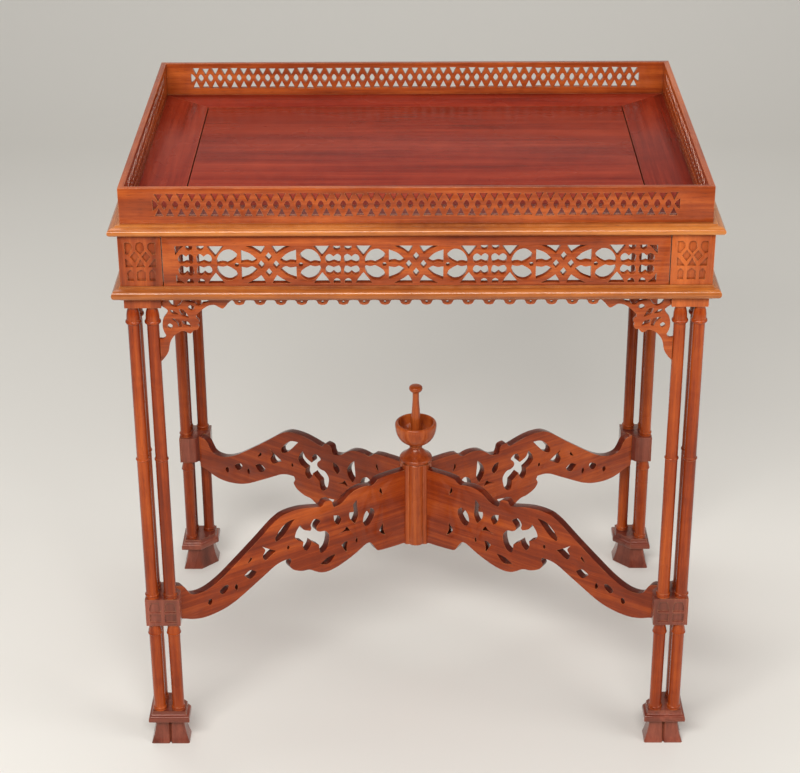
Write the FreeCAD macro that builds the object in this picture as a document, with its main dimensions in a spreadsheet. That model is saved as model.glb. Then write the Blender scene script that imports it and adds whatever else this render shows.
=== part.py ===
"""Tray top tea table in the Chinese Chippendale manner, as a parametric FreeCAD document.

Millimetres, +Z up. The origin is on the floor under the middle of the table, +X runs along the
long side and the front faces -Y. Every side of the table is drawn as the front is, with X along
the side and Y measured inwards from the gallery's outer face, and is then turned into place.
Every leg is drawn as the front left one is, with X and Y measured inwards from the gallery's
outer corner.
"""
import FreeCAD, Part
import math
import os
import re
import Sketcher

SIZES = (
    ("gallery_length", 660, "outside of the gallery, left to right"),
    ("gallery_width", 460, "outside of the gallery, front to rear"),
    ("table_height", 744, "floor to the top edge of the gallery"),
    ("gallery_rise", 42, "height of the gallery rails"),
    ("gallery_wall", 6.6, "thickness of the gallery rails"),
    ("lattice_rise", 26.7, "height of the pierced band of the gallery"),
    ("lattice_edge", 6.5, "solid edge above the pierced band"),
    ("lattice_end", 38.5, "solid end of each gallery rail"),
    ("lattice_pitch", 41, "usual distance between the crossings of the lattice"),
    ("lattice_bar", 3.6, "width of the lattice bars"),
    ("board_thickness", 9, "tray floor boards"),
    ("border_end", 57.4, "width of the border boards at the two ends of the tray"),
    ("border_side", 50.8, "width of the border boards along the two long sides"),
    ("panel_gap", 0.5, "shrinkage gap at each end of the field panel"),
    ("top_moulding_rise", 12, "height of the moulding under the gallery"),
    ("lower_moulding_rise", 17, "height of the moulding under the frieze"),
    ("moulding_nose", 13.2, "how far both noses stand out past the gallery"),
    ("moulding_fillet", 5, "how far the upper edge of the mouldings stands out past the gallery"),
    ("moulding_ledge", 13, "width of the ledge that carries the tray floor"),
    ("frieze_rise", 62, "height of the frieze between the two mouldings"),
    ("frieze_proud", 3.3, "how far the frieze stands out past the gallery"),
    ("frieze_wall", 8, "thickness of the frieze rails"),
    ("facing", 4, "depth of the rebate that the lower moulding is planted in"),
    ("fret_edge", 13.4, "solid edge above the fret"),
    ("fret_rise", 44.2, "height of the fret"),
    ("fret_end", 14.4, "solid end of each frieze rail"),
    ("fret_pitch", 165, "usual distance between two crossings of the fret"),
    ("fret_bar", 4.4, "width of the straight bars of the fret"),
    ("window_half", 22, "half the width of the four-light windows of the fret"),
    ("stile_side", 46, "inner faces of the corner stiles, from the gallery's outer faces"),
    ("cap_rise", 11.4, "height of the caps over the shafts, as wide as the mid blocks"),
    ("shaft_inset", 7.5, "axes of the outer shafts, from the gallery's outer faces"),
    ("shaft_spacing", 22, "distance between the shafts of a leg"),
    ("shaft_radius", 7.4, "long shafts between the mid block and the stile"),
    ("lower_shaft_radius", 7.8, "short shafts between the foot and the mid block"),
    ("block_level", 173.4, "underside of the mid blocks"),
    ("block_rise", 37.4, "height of the mid blocks"),
    ("block_side", 42, "width of the mid blocks"),
    ("block_proud", 1, "how far the mid blocks stand out past the gallery"),
    ("block_chamfer", 12, "cut on the inner corner of the mid blocks, for the stretcher"),
    ("plate_level", 32.5, "underside of the foot plates"),
    ("plate_rise", 8.5, "height of the foot plates' wide nosing"),
    ("tier_rise", 5.5, "height of the narrower tier on the foot plates"),
    ("tier_step", 4.5, "how far that tier stands back from the nosing"),
    ("plate_side", 51, "width of the foot plates"),
    ("plate_proud", 5.7, "how far the foot plates stand out past the gallery"),
    ("foot_side", 48, "width of the feet on the floor"),
    ("foot_neck", 35, "width of the feet under the plate"),
    ("foot_waist", 38.5, "width of the feet half way up"),
    ("foot_proud", 4.2, "how far the feet stand out past the gallery on the floor"),
    ("foot_groove", 3, "depth of the groove down each outer face of the feet"),
    ("inner_cut", 9, "cut on the inner corner of the plates and feet"),
    ("stretcher_wall", 11, "thickness of the stretchers"),
    ("stretcher_level", 160, "underside of the stretchers at the post"),
    ("post_shaft_radius", 11.3, "each of the four engaged shafts of the centre post"),
    ("post_shaft_spread", 9.3, "axes of those shafts, from the middle of the post"),
    ("post_rise", 114, "height of the clustered part of the post"),
    ("collar_radius", 21, "turned collar on the post"),
    ("collar_rise", 25, "height of the collar"),
    ("ring_radius", 10.4, "ring over the collar"),
    ("neck_radius", 7, "neck between the collar and the cup"),
    ("cup_base_radius", 15, "underside of the cup"),
    ("cup_radius", 26.7, "outside of the open cup"),
    ("cup_rise", 34, "height of the cup"),
    ("cup_wall", 3, "wall of the cup"),
    ("spindle_radius", 4.5, "spindle that stands in the cup"),
    ("spindle_rise", 64, "height of the spindle"),
    ("button_radius", 8.2, "button on the spindle"),
    ("button_rise", 10, "height of the button"),
    ("bracket_wall", 6, "thickness of the brackets"),
    ("bracket_reach", 84, "length of the brackets under the rail"),
    ("bracket_drop", 81, "length of the brackets down the shaft"),
    ("fringe_wall", 4, "thickness of the scalloped fringe"),
    ("fringe_band", 2.5, "height of the fringe above the scallops"),
    ("fringe_drop", 8.5, "height of the fringe"),
    ("fringe_pitch", 23.5, "usual distance between scallops"),
)
SIDES = ("front", "right", "rear", "left")
CORNERS = ("front_left", "front_right", "rear_right", "rear_left")
CUTTER = 90  # longer than any board or moulding is wide

# Levels above the floor, written with the names in the sheet
FLOOR_LEVEL = "(table_height - gallery_rise)"
TOP_SEAT = f"({FLOOR_LEVEL} - top_moulding_rise)"
FRIEZE_LEVEL = f"({TOP_SEAT} - frieze_rise)"
RAIL_LEVEL = f"({FRIEZE_LEVEL} - lower_moulding_rise)"
CAP_LEVEL = f"({RAIL_LEVEL} - cap_rise)"
BLOCK_TOP = "(block_level + block_rise)"
PLATE_TOP = "(plate_level + plate_rise + tier_rise)"
COLLAR_LEVEL = "(stretcher_level + post_rise)"
CUP_LEVEL = f"({COLLAR_LEVEL} + collar_rise)"

doc = FreeCAD.newDocument("TeaTable")
sheet = doc.addObject("Spreadsheet::Sheet", "Sizes")
for row, (name, size, note) in enumerate(SIZES, start=1):
    sheet.set(f"A{row}", note)
    sheet.set(f"B{row}", str(size))
    sheet.setAlias(f"B{row}", name)
doc.recompute()
NAMES = {name for name, _, _ in SIZES}
nodes = []


def bind(text):
    """The expression with each size looked up in the sheet."""
    return re.sub(r"[a-z_]+", lambda word: "Sizes." * (word[0] in NAMES) + word[0], text)


def value(text):
    """What an expression in the sheet's names comes to."""
    result = sheet.evalExpression(bind(text))
    return float(getattr(result, "Value", result))


def tie(thing, **expressions):
    """Bind properties to the sheet. Double underscores stand for dots in a property's path."""
    for path, text in expressions.items():
        thing.setExpression(path.replace("__", "."), bind(text))


def place(thing, x, y, z, turn=0):
    """Turn a piece about the vertical and put it at a bound place."""
    base = FreeCAD.Vector(value(x), value(y), value(z))
    thing.Placement = FreeCAD.Placement(base, FreeCAD.Rotation(FreeCAD.Vector(0, 0, 1), turn))
    tie(thing, Placement__Base__x=x, Placement__Base__y=y, Placement__Base__z=z)


def place_side(thing, side, level="0"):
    """Put a piece drawn for the front on one of the four sides."""
    across = ("0", "gallery_length / 2", "0", "-gallery_length / 2")[side]
    deep = ("-gallery_width / 2", "0", "gallery_width / 2", "0")[side]
    place(thing, across, deep, level, 90 * side)


def place_corner(thing, corner, level="0"):
    """Put a piece drawn for the front left leg at one of the four corners."""
    across = "gallery_length / 2" if corner in (1, 2) else "-gallery_length / 2"
    deep = "gallery_width / 2" if corner in (2, 3) else "-gallery_width / 2"
    place(thing, across, deep, level, 90 * corner)


def run_of(side):
    """Length of a side, as an expression."""
    return "gallery_length" if side % 2 == 0 else "gallery_width"


def keep(thing, label):
    """Name a sub-part, which is written to a file of its own."""
    thing.Label = label
    nodes.append(thing)
    return thing


# ---------------------------------------------------------------- sketches and bodies


def arc_between(start, end, radius):
    """Arc from start to end; a positive radius has its centre on the left."""
    chord = end - start
    left = FreeCAD.Vector(-chord.y, chord.x, 0).normalize()
    sagitta = abs(radius) - math.sqrt(radius**2 - (chord.Length / 2) ** 2)
    middle = (start + end) * 0.5 - left * math.copysign(sagitta, radius)
    return Part.Arc(start, middle, end)


def draw(drawing, corners):
    """One closed outline. A corner is (x, y), or (x, y, radius) where an arc arrives at it."""
    points = [FreeCAD.Vector(value(corner[0]), value(corner[1]), 0) for corner in corners]
    first = drawing.GeometryCount
    edges = []
    for index, corner in enumerate(corners):
        ends = (points[index - 1], points[index])
        if len(corner) == 2:
            edges.append(Part.LineSegment(*ends))
        else:
            edges.append(arc_between(*ends, value(corner[2])))
    drawing.addGeometry(edges, False)
    for index, corner in enumerate(corners):
        edge = first + index
        following = first + (index + 1) % len(corners)
        near = 1 if drawing.getPoint(edge, 1).isEqual(points[index], 1e-6) else 2
        next_near = 1 if drawing.getPoint(following, 1).isEqual(points[index], 1e-6) else 2
        drawing.addConstraint(Sketcher.Constraint("Coincident", edge, near, following, next_near))
        for kind, text in zip(("DistanceX", "DistanceY"), corner):
            datum = drawing.addConstraint(Sketcher.Constraint(kind, -1, 1, edge, near, value(text)))
            drawing.setExpression(f"Constraints[{datum}]", bind(text))
        if len(corner) == 3:
            size = corner[2].lstrip("-")
            datum = drawing.addConstraint(Sketcher.Constraint("Radius", edge, value(size)))
            drawing.setExpression(f"Constraints[{datum}]", bind(size))


def sketch(body, plane, *outlines, level=None):
    """A sketch on one of the body's own origin planes, raised by a bound height."""
    drawing = body.newObject("Sketcher::SketchObject", "Outline")
    base = next(feature for feature in body.Origin.OriginFeatures if feature.Role == plane)
    drawing.AttachmentSupport = [(base, "")]
    drawing.MapMode = "FlatFace"
    if level:
        drawing.setExpression("AttachmentOffset.Base.z", bind(level))
    for outline in outlines:
        draw(drawing, outline)
    return drawing


def pad(body, drawing, length, symmetric=False):
    """Raise a sketch into a solid."""
    feature = body.newObject("PartDesign::Pad", "Pad")
    feature.Profile = drawing
    feature.SideType = "Symmetric" if symmetric else "One side"
    tie(feature, Length=length)
    body.Tip = feature
    return feature


def cut_through(body, drawing):
    """Cut a sketch right through the solid, both ways."""
    feature = body.newObject("PartDesign::Pocket", "Cut")
    feature.Profile = drawing
    feature.SideType = "Symmetric"
    feature.Type = "ThroughAll"
    body.Tip = feature
    return feature


def turned(label, outline):
    """A turned piece from half its section, drawn with X as the radius."""
    body = keep(doc.addObject("PartDesign::Body", label), label)
    drawing = sketch(body, "XZ_Plane", outline)
    feature = body.newObject("PartDesign::Revolution", "Turning")
    feature.Profile = drawing
    feature.ReferenceAxis = (drawing, ["V_Axis"])
    feature.Angle = 360
    body.Tip = feature
    return body


def mitred(label, side, section, lean="1"):
    """A board or moulding along one side, mitred at both ends.

    The section gives each corner as (inwards from the gallery's outer face, level). The mitre
    starts at the gallery's inner corner and leans by so many units along for one inwards.
    """
    body = keep(doc.addObject("PartDesign::Body", label), label)
    run = run_of(side)
    pad(body, sketch(body, "YZ_Plane", section), f"{run} + 2 * moulding_nose + 2", symmetric=True)
    start = f"({run} / 2 - gallery_wall)"
    ends = []
    for hand in ("", "-"):
        outer = f"{hand}({start} + {CUTTER} * {lean})"
        inner = f"{hand}({start} - {CUTTER} * {lean})"
        low, high = f"gallery_wall - {CUTTER}", f"gallery_wall + {CUTTER}"
        ends.append(((outer, low), (outer, high), (inner, high)))
    cut_through(body, sketch(body, "XY_Plane", *ends))
    place_side(body, side)
    return body


# ---------------------------------------------------------------- pierced boards


def polygon(points):
    """Closed wire through (along, up) points in the plane of a side."""
    corners = [FreeCAD.Vector(along, 0, up) for along, up in points]
    return Part.makePolygon(corners + corners[:1])


def pierced(outline, openings, wall, inwards=0):
    """A board cut to an outline, with its openings sawn through it."""
    face = Part.makeFace([outline] + [polygon(points) for points in openings],
                         "Part::FaceMakerBullseye")
    face.translate(FreeCAD.Vector(0, inwards, 0))
    return face.extrude(FreeCAD.Vector(0, wall, 0))


def feature_of(label, shape):
    """A document object that holds a computed shape."""
    thing = keep(doc.addObject("Part::Feature", label), label)
    thing.Shape = shape
    return thing


def wedge(run, inset, lean, hand):
    """What a mitre takes off the end of a rail, from the floor up."""
    start = run / 2 - inset
    points = ((start + CUTTER * lean, inset - CUTTER), (start + CUTTER * lean, inset + CUTTER),
              (start - CUTTER * lean, inset + CUTTER))
    corners = [FreeCAD.Vector(hand * along, inwards, 0) for along, inwards in points]
    face = Part.Face(Part.makePolygon(corners + corners[:1]))
    return face.extrude(FreeCAD.Vector(0, 0, value("table_height")))


def lattice_openings(run):
    """Openings of the gallery: a row of crossed bars with triangles and diamonds between them."""
    half = run / 2 - value("lattice_end")
    count = round(2 * half / value("lattice_pitch"))
    pitch = 2 * half / count
    top = value("table_height - lattice_edge")
    middle = top - value("lattice_rise") / 2
    bottom = top - value("lattice_rise")
    bar = value("lattice_bar")
    point = value("lattice_rise") / 2 - bar
    wide = (pitch - bar) / 2
    openings = []
    for cell in range(count):
        centre = -half + (cell + 0.5) * pitch
        for edge, apex in ((top, middle + bar), (bottom, middle - bar)):
            openings.append(((centre - wide, edge), (centre + wide, edge), (centre, apex)))
    for cell in range(1, count):
        centre = -half + cell * pitch
        openings.append(((centre - wide, middle), (centre, middle + point),
                         (centre + wide, middle), (centre, middle - point)))
    for hand in (1, -1):
        openings.append(((hand * half, middle + point), (hand * (half - wide), middle),
                         (hand * half, middle - point)))
    return openings


def gallery(side):
    """One pierced rail of the gallery, mitred at both ends."""
    run = value(run_of(side))
    low, high = value(FLOOR_LEVEL), value("table_height")
    outline = polygon(((-run / 2, low), (run / 2, low), (run / 2, high), (-run / 2, high)))
    rail = pierced(outline, lattice_openings(run), value("gallery_wall"))
    for hand in (1, -1):
        rail = rail.cut(wedge(run, value("gallery_wall"), 1, hand))
    place_side(feature_of(f"gallery_{SIDES[side]}", rail), side)


def fret_openings(run):
    """Openings of the frieze: interlaced ovals, with a four-light window between each pair.

    One quarter of each motif is drawn from the crossing where two ovals interlace, and mirrored.
    """
    half = run / 2 - value("stile_side + fret_end")
    window, bar = value("window_half"), value("fret_bar / 2")
    pairs = max(1, round((2 * half - 2 * window) / value("fret_pitch")))
    pitch = (2 * half - 2 * window) / pairs
    rise = value("fret_rise") / 2
    middle = value(f"{TOP_SEAT} - fret_edge") - rise
    along = pitch / value("fret_pitch")  # the ovals stretch a little to fill the rail
    tangent = pitch / 2 - window  # where an oval touches the window
    quarter = (
        ((4.2, rise), (26.5 * along, rise), (9 * along, rise - 7)),
        ((13 * along, 5), (20.5 * along, 14), (29.5 * along, rise - 4.6), (29.5 * along, 4)),
        ((33.6 * along, 6.5), (33.6 * along, 13.5), (tangent - 13.5, 17.5), (tangent - 5, bar)),
        ((tangent - 13, rise), (tangent + 6.3, rise), (tangent, rise - 11.2)),
    )
    openings = []
    for pair in range(pairs):
        centre = -half + window + (pair + 0.5) * pitch
        for hand in (1, -1):
            for tall in (1, -1):
                for motif in quarter:
                    openings.append([(centre + hand * x, middle + tall * z) for x, z in motif])
    for pair in range(pairs + 1):
        centre = -half + window + pair * pitch
        for hand in (1, -1):
            for tall in (1, -1):
                openings.append([(centre + hand * x, middle + tall * z) for x, z in (
                    (bar, bar), (window - 3.5, bar), (window - 7, 10.5), (bar, 10.5))])
    return openings


def frieze(side):
    """One fret rail between two corner stiles, stepped back below for the lower moulding."""
    run = value(run_of(side))
    half = run / 2 - value("stile_side")
    low, seat, high = value(RAIL_LEVEL), value(FRIEZE_LEVEL), value(TOP_SEAT)
    proud, wall, facing = value("frieze_proud"), value("frieze_wall"), value("facing")
    outline = polygon(((-half, seat), (half, seat), (half, high), (-half, high)))
    rail = pierced(outline, fret_openings(run), wall, -proud)
    tongue = Part.makeBox(2 * half, wall, seat - low,
                          FreeCAD.Vector(-half, facing - proud, low))
    rail = rail.fuse(tongue).removeSplitter()
    place_side(feature_of(f"frieze_{SIDES[side]}", rail), side)


def fringe(side):
    """Scalloped strip that hangs under a frieze rail, between its two brackets."""
    half = value(f"{run_of(side)} / 2 - shaft_inset - shaft_spacing - shaft_radius"
                 " - bracket_reach")
    top, band, drop = value(RAIL_LEVEL), value("fringe_band"), value("fringe_drop")
    count = round(2 * half / value("fringe_pitch"))
    pitch = 2 * half / count
    points = [(half, top), (-half, top), (-half, top - band)]
    for scallop in range(count):
        centre = -half + (scallop + 0.5) * pitch
        points += [(centre - 0.34 * pitch, top - band), (centre - 0.17 * pitch, top - drop),
                   (centre + 0.17 * pitch, top - drop), (centre + 0.34 * pitch, top - band)]
    points.append((half, top - band))
    strip = pierced(polygon(points), (), value("fringe_wall"), value("facing - frieze_proud"))
    place_side(feature_of(f"fringe_{SIDES[side]}", strip), side)


# ---------------------------------------------------------------- tray and mouldings


def tray_floor():
    """A field panel in a mitred border of four boards, flush on the top moulding's ledge."""
    low = f"{FLOOR_LEVEL} - board_thickness"
    for side, name in enumerate(SIDES):
        width, other = ("border_side", "border_end") if side % 2 == 0 else ("border_end",
                                                                            "border_side")
        inner = f"gallery_wall + {width}"
        section = (("gallery_wall", low), (inner, low), (inner, FLOOR_LEVEL),
                   ("gallery_wall", FLOOR_LEVEL))
        mitred(f"tray_border_{name}", side, section, f"{other} / {width}")
    panel = keep(doc.addObject("Part::Box", "FieldPanel"), "tray_field_panel")
    tie(panel, Length="gallery_length - 2 * (gallery_wall + border_end + panel_gap)",
        Width="gallery_width - 2 * (gallery_wall + border_side)", Height="board_thickness")
    place(panel, "gallery_wall + border_end + panel_gap - gallery_length / 2",
          "gallery_wall + border_side - gallery_width / 2", low)


def mouldings(side):
    """The moulding that carries gallery and tray floor, and the one planted under the frieze."""
    name = SIDES[side]
    nose = "-moulding_nose"
    ledge = f"{FLOOR_LEVEL} - board_thickness"
    mitred(f"top_moulding_{name}", side, (
        ("gallery_wall", FLOOR_LEVEL), ("-moulding_fillet", FLOOR_LEVEL),
        ("-moulding_fillet", f"{FLOOR_LEVEL} - 1.5"),
        (nose, f"{TOP_SEAT} + 6"), (f"{nose} + 1.5", f"{TOP_SEAT} + 1.5"),
        (f"{nose} + 4", TOP_SEAT), ("gallery_wall + moulding_ledge", TOP_SEAT),
        ("gallery_wall + moulding_ledge", ledge), ("gallery_wall", ledge)))
    mitred(f"lower_moulding_{name}", side, (
        ("facing - frieze_proud", FRIEZE_LEVEL), ("-moulding_fillet", FRIEZE_LEVEL),
        (nose, f"{RAIL_LEVEL} + 9"), (f"{nose} + 1.5", f"{RAIL_LEVEL} + 2.5"),
        (f"{nose} + 5", RAIL_LEVEL), ("facing - frieze_proud", RAIL_LEVEL)))


# ---------------------------------------------------------------- legs


def square(outer, side, cut="0"):
    """Plan of a leg piece, from its outer corner in, with its inner corner cut off."""
    far = f"({outer} + {side})"
    return ((outer, outer), (far, outer), (far, f"{far} - {cut}"), (f"{far} - {cut}", far),
            (outer, far))


def grooved(outer, side, cut, groove):
    """Plan of a foot: a square with its inner corner cut and a groove in each outer face."""
    middle = f"({outer} + {side} / 2)"
    corners = square(outer, side, cut)
    front = ((f"{middle} - {groove}", outer), (middle, f"{outer} + {groove}"),
             (f"{middle} + {groove}", outer))
    flank = tuple((deep, along) for along, deep in reversed(front))
    return corners[:1] + front + corners[1:] + flank


def flared(plans):
    """Solid with flat faces between plans at rising levels, each with the same corners."""
    faces = [Part.Face(Part.makePolygon(plan + plan[:1])) for plan in (plans[0], plans[-1])]
    for low, high in zip(plans, plans[1:]):
        for index in range(len(low)):
            face = (low[index - 1], low[index], high[index], high[index - 1])
            faces.append(Part.Face(Part.makePolygon(face + face[:1])))
    return Part.makeSolid(Part.makeShell(faces))


def stile(corner):
    """Corner stile: the block at the end of the frieze and the cap that the shafts stand under."""
    label = f"corner_stile_{CORNERS[corner]}"
    body = keep(doc.addObject("PartDesign::Body", label), label)
    for outer, inner, level, rise in (
            ("(-block_proud)", "(block_side - block_proud)", CAP_LEVEL, "cap_rise"),
            ("(facing - frieze_proud)", "stile_side", RAIL_LEVEL, "lower_moulding_rise"),
            ("(-frieze_proud)", "stile_side", FRIEZE_LEVEL, "frieze_rise")):
        plan = ((outer, outer), (inner, outer), (inner, inner), (outer, inner))
        pad(body, sketch(body, "XY_Plane", plan, level=level), rise)
    place_corner(body, corner)


def shaft_axes():
    """Where the three shafts of a leg stand, in an L that opens towards the middle."""
    near, far = "shaft_inset", "shaft_inset + shaft_spacing"
    return ((near, near), (far, near), (near, far))


def shafts(corner):
    """Slender shafts of a leg: three long ones over the mid block and three short ones under it."""
    members = []
    for low, high, radius in ((BLOCK_TOP, CAP_LEVEL, "shaft_radius"),
                              (PLATE_TOP, "block_level", "lower_shaft_radius")):
        for across, deep in shaft_axes():
            shaft = doc.addObject("Part::Cylinder", "Shaft")
            tie(shaft, Radius=radius, Height=f"{high} - {low}")
            place(shaft, across, deep, low)
            members.append(shaft)
    group = keep(doc.addObject("Part::Compound", "Shafts"), f"leg_shafts_{CORNERS[corner]}")
    group.Links = members
    place_corner(group, corner)


def leg(corner):
    """Everything from the floor to the corner stile."""
    name = CORNERS[corner]
    block = keep(doc.addObject("PartDesign::Body", "Block"), f"mid_block_{name}")
    pad(block, sketch(block, "XY_Plane", square("(-block_proud)", "block_side", "block_chamfer"),
                      level="block_level"), "block_rise")
    place_corner(block, corner)

    plate = keep(doc.addObject("PartDesign::Body", "Plate"), f"foot_plate_{name}")
    nosing = square("(-plate_proud)", "plate_side", "inner_cut")
    tier = square("(tier_step - plate_proud)", "(plate_side - 2 * tier_step)", "inner_cut")
    pad(plate, sketch(plate, "XY_Plane", nosing, level="plate_level"), "plate_rise")
    pad(plate, sketch(plate, "XY_Plane", tier, level="plate_level + plate_rise"), "tier_rise")
    place_corner(plate, corner)

    centre = "(foot_side / 2 - foot_proud)"
    plans = []
    for side, level in (("foot_side", "0"), ("foot_waist", "plate_level / 2"),
                        ("foot_neck", "plate_level")):
        plan = grooved(f"({centre} - {side} / 2)", side, "inner_cut", "foot_groove")
        plans.append([FreeCAD.Vector(value(x), value(y), value(level)) for x, y in plan])
    place_corner(feature_of(f"foot_{name}", flared(plans)), corner)
    shafts(corner)


# ---------------------------------------------------------------- brackets

# Each point is (out from the shaft, down from the rail), for the usual reach and drop
BRACKET_REACH, BRACKET_DROP = 84, 81
BRACKET_EDGE = (
    (84, 0), (84, 4), (73, 14), (63.5, 9.7), (52, 14), (43, 22.5), (46, 30.5), (43, 41),
    (35.5, 45.5), (29, 42), (19.5, 45.5), (12, 55.5), (7.5, 67), (0, 81), (-2, 81), (-2, 51.5),
    (6.5, 48.5), (4.2, 36), (6, 24), (10, 16),
)
BRACKET_OPENINGS = (
    ((60, 2.5), (52, 7.6), (46.5, 10), (40, 7), (30.5, 2.5)),
    ((28.5, 2.5), (25, 9.4), (20.5, 12.2), (15.5, 10.5), (12, 2.5)),
    ((25, 15.5), (30.5, 18), (33, 24.5), (26, 21)),
    ((24, 36.5), (20, 28.4), (15, 28)),
)


def bracket(side, hand):
    """Pierced bracket in the angle of a frieze rail and a leg, coped to the shaft."""
    run = value(run_of(side))
    along = value("bracket_reach") / BRACKET_REACH
    down = value("bracket_drop") / BRACKET_DROP
    shaft_radius = value("shaft_radius")
    start = run / 2 - value("shaft_inset + shaft_spacing") - shaft_radius
    cap_out = start - (run / 2 - value("block_side - block_proud"))
    top = value(RAIL_LEVEL)

    def at(out, drop):
        return hand * (start - out * along), top - drop * down

    edge = [at(*point) for point in BRACKET_EDGE]
    edge += [(hand * (start - cap_out), top - value("cap_rise")), (hand * (start - cap_out), top)]
    openings = [[at(*point) for point in motif] for motif in BRACKET_OPENINGS]
    wall = value("bracket_wall")
    board = pierced(polygon(edge), openings, wall, value("shaft_inset") - wall / 2)
    low, high = value(BLOCK_TOP), value(CAP_LEVEL)
    shaft = Part.makeCylinder(shaft_radius, high - low)
    shaft.translate(FreeCAD.Vector(hand * (start + shaft_radius), value("shaft_inset"), low))
    board = board.cut(shaft)
    ends = ("left", "right") if side % 2 == 0 else ("front", "rear")
    turned_round = side in (2, 3)
    end = ends[(hand > 0) != turned_round]
    place_side(feature_of(f"bracket_{SIDES[side]}_{end}", board), side)


# ---------------------------------------------------------------- stretchers and post

# Each point is (out from the post's axis, up from the underside at the post)
STRETCHER_REACH = 353.6
STRETCHER_START = (0, 112)
# Strokes that go round the outline: (end of a straight line,) or (middle and end of an arc)
STRETCHER_EDGE = (
    ((64, 111),),
    ((68, 106),),
    ((75, 106),),
    ((93, 107), (108, 100.8)),
    ((118, 93),),
    ((129, 91.4),),
    ((132, 101),),
    ((142.7, 103.6),),
    ((148.9, 98.1),),
    ((190, 105.5), (229.5, 88.3)),
    ((289, 45.2),),
    ((312, 33.5), (335, 33)),
    ((350, 50),),
    ((STRETCHER_REACH + 16, 58),),
    ((STRETCHER_REACH + 16, 12),),
    ((322, -6), (276.6, 2.1)),
    ((229.5, 27.7),),
    ((213, 36), (196.2, 37.7)),
    ((196, 27),),
    ((184.8, 15.8),),
    ((165, 10.2),),
    ((140.2, -0.3), (115.4, 5.2)),
    ((83.1, 20.8),),
    ((74, 21),),
    ((61, 5.2),),
    ((0, 4),),
    (STRETCHER_START,),
)
STRETCHER_OPENINGS = (
    ((94.7, 91.5), (106, 75), (98, 58.3), (95, 68)),
    ((70, 65), (81, 69), (86, 50), (78, 44), (71, 55)),
    ((55.5, 44), (60, 36), (52.5, 26.5)),
    ((130, 79), (126.5, 63), (119.5, 71)),
    ((109, 34.5), (118, 32), (112, 20)),
    ((128, 22), (151, 14.5), (139, 11.5)),
    ((143, 61), (137.5, 53), (144, 31), (152.5, 43.5), (163, 52.5), (171, 41), (176, 55.5),
     (187.5, 69), (182, 80), (163.5, 70), (159, 83.5), (150.5, 78)),
    ((187.5, 92.5), (208, 84), (214.5, 68), (197, 78)),
    ((215.5, 55.5), (235, 68), (234.5, 53.5), (226, 50)),
    ((245, 34.5), (253, 39.5), (262, 35), (254, 28)),
    ((285.5, 28), (298, 24), (288, 21.5)),
)


def traced(start, strokes):
    """Closed wire of lines and arcs, each from where the last one ended."""
    here = start
    edges = []
    for stroke in strokes:
        if len(stroke) == 1:
            edges.append(Part.makeLine(here, stroke[0]))
        else:
            edges.append(Part.Arc(here, *stroke).toShape())
        here = stroke[-1]
    return Part.Wire(edges)


def post_cluster():
    """The four shafts of the centre post, made tall, to cope the stretchers to."""
    spread = value("post_shaft_spread")
    shafts_round = []
    for across, deep in ((spread, 0), (0, spread), (-spread, 0), (0, -spread)):
        shafts_round.append(Part.makeCylinder(value("post_shaft_radius"), value("table_height"),
                                              FreeCAD.Vector(across, deep, 0)))
    return shafts_round[0].fuse(shafts_round[1:])


def stretcher(corner):
    """Pierced S-shaped board from the centre post to the cut corner of a mid block."""
    inset = value("block_side - block_proud - block_chamfer / 2")
    across = value("gallery_length") / 2 - inset
    deep = value("gallery_width") / 2 - inset
    reach = math.hypot(across, deep)
    along = reach / STRETCHER_REACH
    level, wall = value("stretcher_level"), value("stretcher_wall")

    def at(point):
        return FreeCAD.Vector(point[0] * along, 0, level + point[1])

    edge = traced(at(STRETCHER_START), [[at(point) for point in stroke]
                                        for stroke in STRETCHER_EDGE])
    openings = [[(out * along, level + up) for out, up in motif]
                for motif in STRETCHER_OPENINGS]
    board = pierced(edge, openings, wall, -wall / 2)
    post = post_cluster()
    angle = math.degrees(math.atan2(deep, across))
    block_side = Part.makeBox(CUTTER, 2 * CUTTER, value("table_height"),
                              FreeCAD.Vector(0, -CUTTER, 0))
    block_side.rotate(FreeCAD.Vector(), FreeCAD.Vector(0, 0, 1), 45 - angle)
    block_side.translate(FreeCAD.Vector(reach, 0, 0))
    board = board.cut(post).cut(block_side)
    thing = feature_of(f"stretcher_{CORNERS[corner]}", board)
    if corner in (1, 3):
        mirror = FreeCAD.Vector(0, 1, 0)
        thing.Shape = board.mirror(FreeCAD.Vector(), mirror)
    turn = (180 + angle, -angle, angle, 180 - angle)[corner]
    thing.Placement = FreeCAD.Placement(FreeCAD.Vector(),
                                        FreeCAD.Rotation(FreeCAD.Vector(0, 0, 1), turn))


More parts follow.
